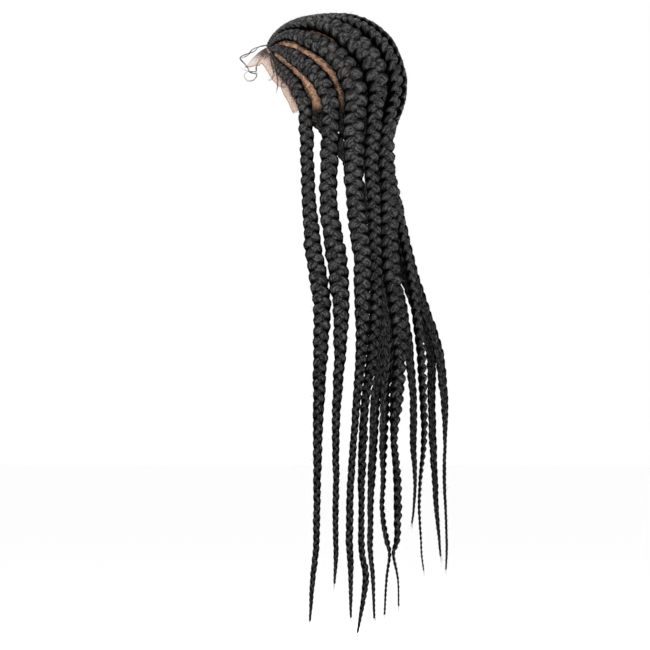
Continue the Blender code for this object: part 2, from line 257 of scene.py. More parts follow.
def noise(tree, vector, scale, detail, roughness=0.5):
    inputs = {"Vector": vector, "Scale": scale, "Detail": detail, "Roughness": roughness}
    return node(tree, "ShaderNodeTexNoise", inputs).outputs[0]


def attribute(tree, name, output="Fac"):
    return node(tree, "ShaderNodeAttribute", attribute_name=name).outputs[output]


def colour_mix(tree, amount, a, b):
    made = node(tree, "ShaderNodeMix", {0: amount, 6: a, 7: b}, data_type="RGBA")
    return made.outputs[2]


def new_group(name, kind, inputs, outputs):
    """A node group with named sockets, and its input and output nodes."""
    tree = bpy.data.node_groups.new(name, kind)
    for label, socket, value in inputs:
        made = tree.interface.new_socket(label, in_out="INPUT", socket_type=socket)
        if value is not None:
            made.default_value = value
    for label, socket in outputs:
        tree.interface.new_socket(label, in_out="OUTPUT", socket_type=socket)
    return tree, tree.nodes.new("NodeGroupInput").outputs, tree.nodes.new("NodeGroupOutput").inputs


def new_material(name):
    """A material with its node tree and its Principled BSDF."""
    material = bpy.data.materials.new(name)
    material.use_nodes = True
    return material, material.node_tree, material.node_tree.nodes["Principled BSDF"]


def bump(tree, shader, height, strength, distance):
    """Lets a height, scaled to a distance in metres, lean the shader's normal."""
    bumped = node(tree, "ShaderNodeBump", {"Strength": strength, "Distance": distance, "Height": height})
    tree.links.new(bumped.outputs[0], shader.inputs["Normal"])


# Net: fine threads round small holes, used by the cap and the lace front
net, net_in, net_out = new_group(
    "lace_net",
    "ShaderNodeTree",
    (("Coordinates", "NodeSocketVector", None), ("Holes per Metre", "NodeSocketFloat", 900.0)),
    (("Thread", "NodeSocketFloat"), ("Knot", "NodeSocketFloat"), ("Mottle", "NodeSocketFloat")),
)
cells = node(
    net,
    "ShaderNodeTexVoronoi",
    {"Vector": net_in["Coordinates"], "Scale": net_in["Holes per Metre"], "Randomness": 0.55},
    feature="DISTANCE_TO_EDGE",
)
thread = mapped(net, cells.outputs["Distance"], 0.06, 0.2, 1.0, 0.0)
spots = node(
    net,
    "ShaderNodeTexVoronoi",
    {"Vector": net_in["Coordinates"], "Scale": math_node(net, "MULTIPLY", net_in["Holes per Metre"], 0.42)},
)
knot = mapped(net, spots.outputs["Distance"], 0.2, 0.42, 1.0, 0.0)
net.links.new(thread, net_out["Thread"])
net.links.new(knot, net_out["Knot"])
net.links.new(noise(net, net_in["Coordinates"], 130.0, 3.0), net_out["Mottle"])


def net_pattern(tree, holes_per_metre):
    """Outputs of the net in a material, on the piece's Object coordinates."""
    pattern = node(tree, "ShaderNodeGroup", node_tree=net)
    tree.links.new(node(tree, "ShaderNodeTexCoord").outputs["Object"], pattern.inputs["Coordinates"])
    pattern.inputs["Holes per Metre"].default_value = holes_per_metre
    return pattern.outputs


cap_lace, tree, shader = new_material("tan_cap_lace")
pattern = net_pattern(tree, CAP_HOLES_PER_METRE)
ground = colour_mix(tree, mapped(tree, pattern["Mottle"], 0.35, 0.68), CAP_SHADE, CAP_LIGHT)
threaded = colour_mix(tree, math_node(tree, "MULTIPLY", pattern["Thread"], 0.5), ground, CAP_THREAD)
knotted = colour_mix(tree, math_node(tree, "MULTIPLY", pattern["Knot"], 0.8), threaded, CAP_KNOT)
edged = colour_mix(tree, attribute(tree, "near_edge"), knotted, EDGE_DARK)
tree.links.new(edged, shader.inputs["Base Color"])
bump(tree, shader, pattern["Thread"], 0.6, 0.0004)
shader.inputs["Roughness"].default_value = 0.72
shader.inputs["Specular IOR Level"].default_value = 0.3

points = []
near_edge = []
for wall in (0.0, CAP_WALL):
    points.append((0, 0, wall))
    near_edge.append(0.0)
    for row in range(1, CAP_ROWS + 1):
        for i in range(CAP_TURN):
            degrees = 360 * i / CAP_TURN
            signed = degrees if degrees <= 180 else degrees - 360
            low = edge_elevation(signed)
            azimuth = math.radians(degrees)
            elevation = math.radians(90) + (low - math.radians(90)) * row / CAP_ROWS
            hem = CAP_HEM if row >= CAP_ROWS - 1 and wall else 0.0
            points.append(head_point(azimuth, elevation) + (wall + hem) * head_normal(azimuth, elevation))
            last_rows = np.interp(row / CAP_ROWS, EDGE_DARK_ROWS, (0, 1))
            near_edge.append(last_rows * np.interp(abs(signed), EDGE_DARK_FROM, (0, 1)))
layer = 1 + CAP_ROWS * CAP_TURN
faces = []
for side in (0, 1):
    base = side * layer
    for j in range(CAP_TURN):
        k = (j + 1) % CAP_TURN
        tri = (base, base + 1 + j, base + 1 + k)
        faces.append(tri if side else tri[::-1])
        for row in range(CAP_ROWS - 1):
            a = base + 1 + row * CAP_TURN
            b = a + CAP_TURN
            quad = (a + j, b + j, b + k, a + k)
            faces.append(quad if side else quad[::-1])
for j in range(CAP_TURN):
    k = (j + 1) % CAP_TURN
    a = 1 + (CAP_ROWS - 1) * CAP_TURN
    b = a + layer
    faces.append((a + j, a + k, b + k, b + j))
cap = add_piece("cap_of_lace", points, faces, cap_lace)
add_attribute(cap, "near_edge", "FLOAT", near_edge)
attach(cap, "root")
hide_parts("lace_cap")


# Lace front. A strip of finer, nearly clear net sewn to the cap's front edge, to be glued down
# along the hairline. It lies on the temples and stands off the forehead in the middle, with a
# folded tan edge where it was cut.
LACE_WALL = 0.0004
LACE_CLEAR = 0.0003
LACE_END_AZIMUTH = 56.0
LACE_GAP = 0.0005
LACE_WIDTH_MIDDLE = 0.034
LACE_WIDTH_SIDE = 0.012
LACE_LIFT_MIDDLE = 0.026
LACE_LIFT_ANGLE = 17.0
LACE_COLUMNS = 120
LACE_ROWS = 18
LACE_RIPPLE = 0.0009
LACE_HOLES_PER_METRE = 1300.0

# The fold lies between these shares of the way from the seam to the free edge
FOLD_FROM = (0.93, 0.97)
FRONT_SHADE = (0.36, 0.20, 0.13, 1)
FRONT_LIGHT = (0.58, 0.38, 0.27, 1)
FRONT_FOLD = (0.36, 0.19, 0.11, 1)


def edge_point(degrees):
    """Point of the head form under the cap's edge."""
    return head_point(math.radians(degrees), edge_elevation(degrees))


def lace_point(degrees, fraction, wall):
    """Point of the lace front; fraction runs from the cap's edge to the free edge."""
    azimuth = math.radians(degrees)
    middle = math.exp(-((degrees / LACE_LIFT_ANGLE) ** 2))
    width = LACE_WIDTH_SIDE + (LACE_WIDTH_MIDDLE - LACE_WIDTH_SIDE) * middle
    along = unit(edge_point(degrees + 2.5) - edge_point(degrees - 2.5))
    forward = np.cross(along, head_normal(azimuth, edge_elevation(degrees)))
    place = direction_of(edge_point(degrees) + forward * (LACE_GAP + width * fraction))
    lift = LACE_LIFT_MIDDLE * middle * fraction ** 0.9
    ripple = LACE_RIPPLE * fraction * (1 + math.sin(degrees * 0.55) * math.sin(degrees * 0.23 + 1))
    return head_point(*place) + head_normal(*place) * (lift + ripple + wall)


front_lace, tree, shader = new_material("clear_front_lace")
pattern = net_pattern(tree, LACE_HOLES_PER_METRE)
edge_fold = mapped(tree, attribute(tree, "from_seam"), *FOLD_FROM)
base = colour_mix(tree, pattern["Mottle"], FRONT_SHADE, FRONT_LIGHT)
base = colour_mix(tree, edge_fold, base, FRONT_FOLD)
tree.links.new(base, shader.inputs["Base Color"])
# The holes cover little, the threads more, and less so where the lace stands off
threads = math_node(tree, "MULTIPLY_ADD", attribute(tree, "off_the_skin"), -0.34, 0.48)
cover = math_node(tree, "MULTIPLY_ADD", pattern["Thread"], threads, 0.05)
cover = math_node(tree, "MAXIMUM", cover, math_node(tree, "MULTIPLY", edge_fold, 0.6))
tree.links.new(cover, shader.inputs["Alpha"])
shader.inputs["Roughness"].default_value = 0.6
shader.inputs["Specular IOR Level"].default_value = 0.35
bump(tree, shader, pattern["Thread"], 0.5, 0.0003)

points = []
seam = []
lifted = []
for wall in (0.0, LACE_WALL):
    for row in range(LACE_ROWS + 1):
        for i in range(LACE_COLUMNS + 1):
            degrees = LACE_END_AZIMUTH * (2 * i / LACE_COLUMNS - 1)
            points.append(lace_point(degrees, row / LACE_ROWS, wall + LACE_CLEAR))
            seam.append(row / LACE_ROWS)
            lifted.append(math.exp(-((degrees / LACE_LIFT_ANGLE / 1.3) ** 2)))
wide = LACE_COLUMNS + 1
layer = wide * (LACE_ROWS + 1)
faces = []
for row in range(LACE_ROWS):
    for i in range(LACE_COLUMNS):
        a = row * wide + i
        quad = (a, a + 1, a + wide + 1, a + wide)
        faces.append(quad)
        faces.append(tuple(v + layer for v in reversed(quad)))
rim = list(range(wide))
rim += [row * wide + wide - 1 for row in range(1, LACE_ROWS + 1)]
rim += [LACE_ROWS * wide + i for i in range(wide - 2, -1, -1)]
rim += [row * wide for row in range(LACE_ROWS - 1, 0, -1)]
for i, a in enumerate(rim):
    b = rim[(i + 1) % len(rim)]
    faces.append((b, a, a + layer, b + layer))
lace = add_piece("front_of_lace", points, faces, front_lace)
add_attribute(lace, "from_seam", "FLOAT", seam)
add_attribute(lace, "off_the_skin", "FLOAT", lifted)
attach(lace, "root")
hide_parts("lace_front")


# Plaits. Eleven three-strand plaits of crimped synthetic hair. Each is fed in at the front edge,
# sewn down over the cap as a cornrow and left to hang from the cap's edge, growing thinner to
# its sealed tip. The strands cross towards the edges on the outside, so the lobes point down.
ROW_5_BETWEEN = 0.45
SEAT_GAP = 0.0003
CORNROW_THICKNESS = 0.52
CORNROW_THICKENS = 0.1
HANG_THICKNESS = 0.60
START_INSET = 2.5
LOBE_ON_CAP = 0.50
FEET_PER_CORNROW = 41
PATH_POINTS = 1600
SAMPLES_PER_TURN = 20
UNEVEN = 0.05
FIRST_SEED = 40

# Spacing of the lobes down one edge of a hanging plait, in millimetres: plait width, spacing
LOBE_SPACING = ((3, 6.5), (6, 9.0), (9, 11.2), (13, 14.0), (20, 15.4), (26, 16.4), (33, 19.0))

# Cornrow paths on the wearer's left in side view: y, z in millimetres
ROW_1 = ((-80.9, -62.6), (-72.6, -72.9), (-62.5, -84.5), (-52.5, -97), (-45, -111), (-38.5, -124))
ROW_2 = (
    (-79, -42.6), (-68, -46), (-55, -55), (-40, -65.5), (-25, -79), (-11.5, -94.5), (-5, -110),
    (-0.5, -127),
)
ROW_3 = (
    (-78, -28), (-62, -22), (-43, -26.5), (-22, -35), (-3.5, -46), (15.5, -62.5), (28, -83),
    (34, -104), (36, -126),
)
ROW_4 = (
    (-75, -17), (-60, -10), (-46, -7), (-28, -7), (0, -12), (15, -21), (32, -34), (47, -48),
    (60, -72), (66.5, -98), (65, -124),
)
ROW_MIDDLE = (
    (-92, -28), (-72, -8), (-45, 4), (-10, 9), (30, 6), (62, -10), (88, -40), (104, -78), (102, -112),
    (90, -150),
)

# Azimuth in degrees at which each of the first four cornrows starts on the front edge
START_AZIMUTH = (21.0, 16.5, 12.3, 8.2)

# Heights of the stations on the hanging part, in millimetres
STATIONS = (-191, -265, -338, -412, -485, -559, -617, -676, -720, -764, -786, -823)

# Plait: cornrow, side (1 left, -1 right), y at each station (0 past its tip), tip (y, z),
# x (top, middle, tip) in millimetres, and the way it faces in degrees from +X
PLAITS = {
    "left_1": (
        1, 1, (-35, -32, -26, -14, -15.5, -18, -19, -20.5, -20.6, -21.5, -22.8, -27),
        (-31, -883), (80, 84, 78), 0,
    ),
    "left_2": (
        2, 1, (-2, -3.5, 5.5, 14, 13.5, 8.5, 7, 7.3, 6.8, 7, 7.4, 5),
        (5, -828), (84, 88, 84), 0,
    ),
    "left_3": (
        3, 1, (33, 35, 45, 46.5, 44.5, 38, 33.5, 29, 27.5, 27, 27.9, 29),
        (29, -878), (83, 87, 80), 4,
    ),
    "left_4": (
        4, 1, (59, 62, 64, 66, 60.5, 51, 47, 45, 44.5, 44.6, 45.6, 51),
        (39, -901), (71, 66, 60), 16,
    ),
    "left_5": (
        5, 1, (81, 83, 85, 94, 100, 96, 92.6, 97.5, 98, 97, 92, 98.5),
        (99.5, -862), (44, 43, 40), 30,
    ),
    "middle": (
        6, 0, (80, 95, 110, 122, 132, 135.5, 137, 131.6, 130, 132.5, 133.5, 0),
        (136.5, -810), (0, 0, 4), 50,
    ),
    "right_5": (
        5, -1, (80, 84, 84, 85, 86, 80, 77.5, 77, 75.5, 81.5, 86.5, 82),
        (79, -876), (44, 40, 36), 40,
    ),
    "right_4": (
        4, -1, (60, 63, 68, 75, 75, 66, 63, 60, 58.5, 58, 58.3, 62),
        (64, -882), (67, 58, 54), 14,
    ),
    "right_3": (
        3, -1, (70, 94, 110, 133.5, 158, 167.5, 168.5, 167.5, 169.5, 171, 171, 0),
        (170, -810), (87, 79, 66), 0,
    ),
    "right_2": (
        2, -1, (42, 77, 97, 122, 147, 149, 150.5, 153.5, 156, 160, 0, 0),
        (162, -791), (94, 98, 80), 0,
    ),
    "right_1": (
        1, -1, (18, 50, 76, 103, 115, 121.5, 121.5, 124.3, 122.3, 0, 0, 0),
        (119.5, -742), (82, 80, 70), 0,
    ),
}

# Width of each cornrow in millimetres at the front edge and at each fifth of its run but the last
ROW_WIDTHS = (
    (4.6, 8.5, 15.5, 17.5, 20.0),
    (5.2, 13.0, 22.0, 24.5, 25.0),
    (5.8, 15.5, 24.5, 30.5, 35.0),
    (5.8, 16.0, 27.0, 35.0, 36.0),
    (5.8, 12.5, 19.5, 25.0, 28.0),
    (5.8, 12.5, 20.0, 27.0, 28.0),
)

# Width of each plait in millimetres: at the cap's edge, at each station, at the tip
WIDTHS = {
    "left_1": (20, 19, 19.5, 24, 25.5, 21, 16.5, 13.5, 11, 10, 9, 8.5, 7.5, 3),
    "left_2": (25.5, 25, 24, 28.5, 24.5, 17.5, 12.5, 10.5, 9, 8.8, 7.5, 7, 5, 3),
    "left_3": (31, 29, 26.5, 25.5, 23.5, 16.5, 11.5, 10, 10, 10.5, 10, 9.5, 7, 3),
    "left_4": (25, 22, 19.5, 18.5, 18, 16.5, 12.5, 12.3, 10.5, 9, 9, 9, 9, 3),
    "left_5": (26, 25, 26, 27.5, 25, 21.5, 20, 10.5, 11.5, 11.7, 9, 5.2, 3, 2.4),
    "middle": (28, 22, 19, 15, 14, 15.5, 13, 10, 6.5, 5, 3.6, 3.2, 3, 2.4),
    "right_5": (28, 21, 19, 18, 17.5, 16, 15, 13, 8.5, 7.5, 8.4, 5.2, 4, 3),
    "right_4": (27, 21, 19, 18, 17, 15.5, 14, 12.5, 11, 8.5, 8.3, 7.4, 6, 3),
    "right_3": (27, 20, 19, 19, 15, 14, 11, 5.5, 5, 4, 3.6, 3.2, 3, 2.4),
    "right_2": (25, 19, 18, 18, 15, 14, 11, 10.8, 8.6, 7, 4.2, 3, 3, 2.4),
    "right_1": (21, 19, 18, 16, 14, 13, 10.3, 10, 5.5, 3.6, 3, 3, 3, 2.4),
}


def elevation_at(azimuth, z):
    """Elevation at which the head form has the height z."""
    low = math.radians(-60)
    high = math.radians(89.99)
    for _ in range(30):
        middle = (low + high) / 2
        if head_point(azimuth, middle)[2] < z:
            low = middle
        else:
            high = middle
    return (low + high) / 2


def on_side(y, z, lift):
    """Direction of the point, lifted off the left side of the head, seen from the side at y and z."""
    aim_y = y
    aim_z = z
    found = (0.0, 0.0)
    for _ in range(6):
        low = 0.0005
        high = math.pi - 0.0005
        for _ in range(30):
            azimuth = (low + high) / 2
            elevation = elevation_at(azimuth, aim_z)
            if head_point(azimuth, elevation)[1] < aim_y:
                low = azimuth
            else:
                high = azimuth
        found = (azimuth, elevation)
        lifted = head_point(*found) + lift * head_normal(*found)
        aim_y += 0.8 * (y - lifted[1])
        aim_z += 0.8 * (z - lifted[2])
        aim_z = min(aim_z, -0.0004)
    return found


def through(points, count):
    """Catmull-Rom curve through points, as count even steps of its length."""
    p = np.array(points, float)
    p = np.vstack((2 * p[0] - p[1], p, 2 * p[-1] - p[-2]))
    fine = []
    for i in range(1, len(p) - 2):
        for t in np.linspace(0, 1, 24, endpoint=False):
            a = 2 * p[i]
            b = (p[i + 1] - p[i - 1]) * t
            c = (2 * p[i - 1] - 5 * p[i] + 4 * p[i + 1] - p[i + 2]) * t * t
            d = (3 * p[i] - p[i - 1] - 3 * p[i + 1] + p[i + 2]) * t ** 3
            fine.append((a + b + c + d) / 2)
    fine.append(p[-2])
    fine = np.array(fine)
    run = np.concatenate(((0,), np.cumsum(np.linalg.norm(np.diff(fine[:, :3], axis=0), axis=1))))
    at = np.linspace(0, run[-1], count)
    return np.column_stack([np.interp(at, run, fine[:, k]) for k in range(fine.shape[1])])


def side_row(row):
    """Feet of a side cornrow on the head form, from its places in side view."""
    start = START_AZIMUTH[row - 1]
    elevation = edge_elevation(start) + math.radians(START_INSET)
    feet = [head_point(math.radians(start), elevation)]
    table = (ROW_1, ROW_2, ROW_3, ROW_4)[row - 1]
    last = len(table) - 1
    for i, (y, z) in enumerate(table):
        lift = CAP_WALL + SEAT_GAP + 0.003 + 0.004 * min(1, 2 * i / last)
        feet.append(head_point(*on_side(y / 1000, z / 1000, lift)))
    return through(feet, FEET_PER_CORNROW)


def middle_row():
    """Feet of the middle cornrow, along the head form's middle line."""
    feet = []
    for y, z in ROW_MIDDLE:
        feet.append(head_point(*direction_of((0, y / 1000, z / 1000))))
    return through(feet, FEET_PER_CORNROW)


cornrow_feet = {row: side_row(row) for row in (1, 2, 3, 4)}
cornrow_feet[6] = middle_row()
between = cornrow_feet[4] * (1 - ROW_5_BETWEEN) + cornrow_feet[6] * ROW_5_BETWEEN
cornrow_feet[5] = np.array([head_point(*direction_of(p)) for p in between])


def cornrow_width(row, f, last_width):
    """Width in metres of a cornrow at a share of its run; its last width is the plait's first."""
    return np.interp(f, np.linspace(0, 1, 6), (*ROW_WIDTHS[row - 1], last_width)) / 1000


def plait_path(name):
    """Samples of a plait: centre, outward direction, width, thickness and share of the cap."""
    row, side, ys, tip, xs, facing = PLAITS[name]
    widths = np.array(WIDTHS[name]) / 1000
    feet = cornrow_feet[row]
    samples = []
    for i, foot in enumerate(feet):
        f = i / (len(feet) - 1)
        width = cornrow_width(row, f, 1000 * widths[0])
        normal = head_normal(*direction_of(foot))
        thick = width * (CORNROW_THICKNESS + CORNROW_THICKENS * max(0, f - 0.7) / 0.3)
        centre = foot + normal * (CAP_WALL + SEAT_GAP + thick / 2)
        samples.append((*centre, *normal, width, thick, min(1, 3 * (1 - f))))
    turn = math.radians(facing)
    out = (math.cos(turn), math.sin(turn), 0.0)
    heights = np.array((*STATIONS, tip[1])) / 1000
    heights = heights[(heights > tip[1] / 1000 + 0.02) | (heights == tip[1] / 1000)]
    for i, z in enumerate(heights):
        last = i == len(heights) - 1
        y = (tip[0] if last else ys[i]) / 1000
        x = np.interp(z, (tip[1] / 1000, -0.412, -0.191), (xs[2] / 1000, xs[1] / 1000, xs[0] / 1000))
        width = widths[-1] if last else widths[i + 1]
        samples.append((x, y, z, *out, width, width * HANG_THICKNESS, 0))
    on_cap = samples[: len(feet)]
    path = through(on_cap[:-1:2] + [on_cap[-1]] + samples[len(feet) :], PATH_POINTS)
    path[:, 3:6] = unit(path[:, 3:6])
    if side < 0:
        path[:, 0] *= -1
        path[:, 3] *= -1
    return path


def braiding_line(name, seed):
    """A plait's path as a line of points at even steps of its turning, with what the strands need."""
    rng = np.random.default_rng(seed)
    path = plait_path(name)
    step = np.linalg.norm(np.diff(path[:, :3], axis=0), axis=1)
    run = np.concatenate(((0,), np.cumsum(step)))
    spacing = np.array(LOBE_SPACING, float) / 1000
    hanging = np.interp(path[:, 6], spacing[:, 0], spacing[:, 1])
    on_cap = np.maximum(0.0042, LOBE_ON_CAP * path[:, 6])
    pitch = hanging + (on_cap - hanging) * path[:, 8]
    per_turn = 3 * (pitch[:-1] + pitch[1:]) / 2
    turning = np.concatenate(((0,), np.cumsum(step * 2 * math.pi / per_turn)))
    count = int(turning[-1] / (2 * math.pi) * SAMPLES_PER_TURN) + 1
    turn = np.linspace(0, turning[-1], count)
    row = np.column_stack([np.interp(turn, turning, path[:, k]) for k in range(path.shape[1])])
    along = unit(np.gradient(row[:, :3], axis=0))
    out = unit(row[:, 3:6] - along * (row[:, 3:6] * along).sum(axis=1, keepdims=True))
    across = np.cross(out, along)
    knots = int(count / 7) + 3
    uneven = np.interp(np.linspace(0, knots - 1, count), np.arange(knots), rng.uniform(-1, 1, knots))
    sway = np.interp(np.linspace(0, knots - 1, count), np.arange(knots), rng.uniform(-1, 1, knots))
    half = row[:, 6] / 2 * (1 + UNEVEN * uneven)
    place = row[:, :3] + across * (0.05 * row[:, 6] * sway)[:, None]
    line = add_piece("plait_" + name, place, [], edges=[(i, i + 1) for i in range(count - 1)])
    add_attribute(line, "across", "FLOAT_VECTOR", across)
    add_attribute(line, "out", "FLOAT_VECTOR", out)
    add_attribute(line, "half", "FLOAT", half)
    add_attribute(line, "deep", "FLOAT", row[:, 7] / 2)
    add_attribute(line, "turn", "FLOAT", turn + rng.uniform(0, 6))
    add_attribute(line, "down", "FLOAT", np.interp(turn, turning, run))
    return line


def field(tree, name, kind="FLOAT"):
    """A named attribute read in a Geometry Nodes tree."""
    return node(tree, "GeometryNodeInputNamedAttribute", {"Name": name}, data_type=kind).outputs["Attribute"]


def stored(tree, geometry, name, value, kind="FLOAT", domain="POINT"):
    """The geometry with a named attribute added."""
    inputs = {"Geometry": geometry, "Name": name}
    made = node(tree, "GeometryNodeStoreNamedAttribute", inputs, data_type=kind, domain=domain)
    tree.links.new(value, made.inputs["Value"])
    return made.outputs[0]


# Three strands swing from side to side, a third of a turn apart, and rise where they go outwards.
# They linger at the sides by this much.
LINGER = 0.22
plaiting, plaiting_in, plaiting_out = new_group(
    "three_strand_plaiting",
    "GeometryNodeTree",
    (
        ("Line", "NodeSocketGeometry", None),
        ("Swing", "NodeSocketFloat", 0.51),
        ("Rise", "NodeSocketFloat", 0.56),
        ("Slant", "NodeSocketFloat", 0.19),
        ("Strand Width", "NodeSocketFloat", 0.59),
        ("Strand Depth", "NodeSocketFloat", 0.30),
        ("Swell", "NodeSocketFloat", 0.12),
        ("Lumps", "NodeSocketFloat", 0.10),
        ("Flyaways per Square Metre", "NodeSocketFloat", 12000.0),
        ("Flyaway Length", "NodeSocketFloat", 0.0075),
        ("Flyaway Radius", "NodeSocketFloat", 0.00014),
        ("Seed", "NodeSocketInt", 1),
        ("Hair", "NodeSocketMaterial", None),
    ),
    (("Plait", "NodeSocketGeometry"),),
)
t = plaiting
curve = node(t, "GeometryNodeMeshToCurve", {"Mesh": plaiting_in["Line"]}).outputs[0]
copies = node(t, "GeometryNodeDuplicateElements", {"Geometry": curve, "Amount": 3}, domain="SPLINE")
strand = copies.outputs["Duplicate Index"]
kept = stored(t, copies.outputs[0], "strand", strand, "FLOAT", "CURVE")
turn = math_node(t, "MULTIPLY_ADD", field(t, "strand"), 2 * math.pi / 3, field(t, "turn"))
sine = math_node(t, "SINE", turn)
lingering = math_node(t, "MULTIPLY_ADD", math_node(t, "MULTIPLY", sine, sine), -LINGER, 1 + LINGER)
swing = math_node(t, "MULTIPLY", math_node(t, "MULTIPLY", sine, lingering), plaiting_in["Swing"])
swing = math_node(t, "MULTIPLY", swing, field(t, "half"))
double = math_node(t, "SINE", math_node(t, "MULTIPLY", turn, 2.0))
rise = math_node(t, "MULTIPLY", math_node(t, "MULTIPLY", double, plaiting_in["Rise"]), field(t, "deep"))
slant = math_node(t, "COSINE", math_node(t, "MULTIPLY", turn, 2.0))
slant = math_node(t, "MULTIPLY", math_node(t, "MULTIPLY", slant, plaiting_in["Slant"]), field(t, "half"))
across = field(t, "across", "FLOAT_VECTOR")
out = field(t, "out", "FLOAT_VECTOR")
downward = vector_node(t, "CROSS_PRODUCT", across, out)
offset = vector_node(t, "ADD", vector_node(t, "SCALE", across, swing), vector_node(t, "SCALE", out, rise))
offset = vector_node(t, "ADD", offset, vector_node(t, "SCALE", downward, slant))
swell = math_node(t, "MULTIPLY_ADD", double, plaiting_in["Swell"], 1.0)
moved = node(t, "GeometryNodeSetPosition", {"Geometry": kept, "Offset": offset}).outputs[0]
tangent = t.nodes.new("GeometryNodeInputTangent").outputs[0]
lean = vector_node(t, "SCALE", tangent, vector_node(t, "DOT_PRODUCT", out, tangent))
normal = vector_node(t, "NORMALIZE", vector_node(t, "SUBTRACT", out, lean))
turned = node(t, "GeometryNodeSetCurveNormal", {"Curve": moved, "Normal": normal}, mode="FREE").outputs[0]

# A strand's section: a ring squared off so that the cubes of its x and y add up to 1, then sized
ring = node(t, "GeometryNodeCurvePrimitiveCircle", {"Resolution": 12, "Radius": 1.0}, mode="RADIUS")
around = t.nodes.new("GeometryNodeInputPosition").outputs[0]
cubed = vector_node(t, "MULTIPLY", vector_node(t, "MULTIPLY", around, around), around)
cubed = vector_node(t, "DOT_PRODUCT", vector_node(t, "ABSOLUTE", cubed), (1.0, 1.0, 1.0))
squared_off = vector_node(t, "SCALE", around, math_node(t, "POWER", cubed, -1 / 3))
ring = node(t, "GeometryNodeSetPosition", {"Geometry": ring.outputs[0], "Position": squared_off}).outputs[0]
ring = stored(t, ring, "ring", around, "FLOAT_VECTOR")
section = {0: plaiting_in["Strand Depth"], 1: plaiting_in["Strand Width"], 2: 1.0}
section = node(t, "ShaderNodeCombineXYZ", section).outputs[0]
ring = node(t, "GeometryNodeTransform", {"Geometry": ring, "Scale": section}).outputs[0]
size = math_node(t, "MULTIPLY", field(t, "half"), swell)
solid = node(
    t,
    "GeometryNodeCurveToMesh",
    {"Curve": turned, "Profile Curve": ring, "Scale": size, "Fill Caps": True},
).outputs[0]

# Where each spot lies in its strand: round it at a radius of 6 mm, and along it
rounded = vector_node(t, "MULTIPLY", field(t, "ring", "FLOAT_VECTOR"), (0.006, 0.006, 0.006))
length_part = math_node(t, "MULTIPLY_ADD", field(t, "strand"), 3.7, field(t, "down"))
length_part = node(t, "ShaderNodeCombineXYZ", {2: length_part}).outputs[0]
fibre = vector_node(t, "ADD", rounded, length_part)
solid = stored(t, solid, "fibre", fibre, "FLOAT_VECTOR")
stretched = vector_node(t, "MULTIPLY", field(t, "fibre", "FLOAT_VECTOR"), (330.0, 330.0, 95.0))
lumps = math_node(t, "SUBTRACT", noise(t, stretched, 1.0, 2.0), 0.5)
lumps = math_node(t, "MULTIPLY", lumps, plaiting_in["Lumps"])
lumps = math_node(t, "MULTIPLY", math_node(t, "MULTIPLY", lumps, field(t, "half")), 4.0)
push = vector_node(t, "SCALE", t.nodes.new("GeometryNodeInputNormal").outputs[0], lumps)
solid = node(t, "GeometryNodeSetPosition", {"Geometry": solid, "Offset": push}).outputs[0]

# Painted light and shade: 1 on the back of a lobe, 0 in the joints where a strand dives under its neighbour
section_place = node(t, "ShaderNodeSeparateXYZ", {0: field(t, "ring", "FLOAT_VECTOR")}).outputs
raised_parts = []
for direction in (1.0, -1.0):
    facing = math_node(t, "MULTIPLY", section_place[0], direction)
    facing = mapped(t, facing, 0.58, 1.0, kind="SMOOTHSTEP")
    on_top = math_node(t, "MULTIPLY", double, direction)
    on_top = mapped(t, on_top, -0.25, 0.60, kind="SMOOTHSTEP")
    raised_parts.append(math_node(t, "MULTIPLY", facing, on_top))
outward = math_node(t, "MULTIPLY", section_place[1], math_node(t, "SINE", turn))
outward = mapped(t, outward, 0.45, 1.0, 0.0, 0.8)
lobe_back = math_node(t, "MAXIMUM", math_node(t, "MAXIMUM", *raised_parts), outward)
solid = stored(t, solid, "painted_light_mask", lobe_back)
smooth = node(t, "GeometryNodeSetShadeSmooth", {"Geometry": solid}).outputs[0]

# Flyaways: short bent hairs that stand off the strands
hair = node(
    t,
    "GeometryNodeCurveQuadraticBezier",
    {"Resolution": 4, "Start": (0, 0, -0.05), "Middle": (0.32, 0.1, 0.3), "End": (1.0, 0, 0.22)},
).outputs[0]
thin = math_node(t, "DIVIDE", plaiting_in["Flyaway Radius"], plaiting_in["Flyaway Length"])
factor = t.nodes.new("GeometryNodeSplineParameter").outputs["Factor"]
taper = math_node(t, "MULTIPLY_ADD", factor, -0.7, 1.0)
three = node(t, "GeometryNodeCurvePrimitiveCircle", {"Resolution": 3}, mode="RADIUS")
t.links.new(thin, three.inputs["Radius"])
hair = node(
    t,
    "GeometryNodeCurveToMesh",
    {"Curve": hair, "Profile Curve": three.outputs[0], "Scale": taper, "Fill Caps": True},
).outputs[0]
scatter = node(
    t,
    "GeometryNodeDistributePointsOnFaces",
    {"Mesh": solid, "Density": plaiting_in["Flyaways per Square Metre"], "Seed": plaiting_in["Seed"]},
)
leans = {"Min": (-0.5, -0.35, 0.0), "Max": (0.5, 0.35, 6.283)}
spin = node(t, "FunctionNodeRandomValue", leans, data_type="FLOAT_VECTOR")
t.links.new(plaiting_in["Seed"], spin.inputs["Seed"])
spin = node(t, "FunctionNodeEulerToRotation", {"Euler": spin.outputs["Value"]}).outputs[0]
placed = {"Rotation": scatter.outputs["Rotation"], "Rotate By": spin}
placed = node(t, "FunctionNodeRotateRotation", placed, rotation_space="LOCAL").outputs[0]
sizes = node(t, "FunctionNodeRandomValue", {2: 0.45, 3: 1.0}, data_type="FLOAT")
sizes = math_node(t, "MULTIPLY", sizes.outputs[1], plaiting_in["Flyaway Length"])
hairs = node(
    t,
    "GeometryNodeInstanceOnPoints",
    {"Points": scatter.outputs["Points"], "Instance": hair, "Rotation": placed, "Scale": sizes},
).outputs[0]
joined = node(t, "GeometryNodeJoinGeometry")
t.links.new(smooth, joined.inputs[0])
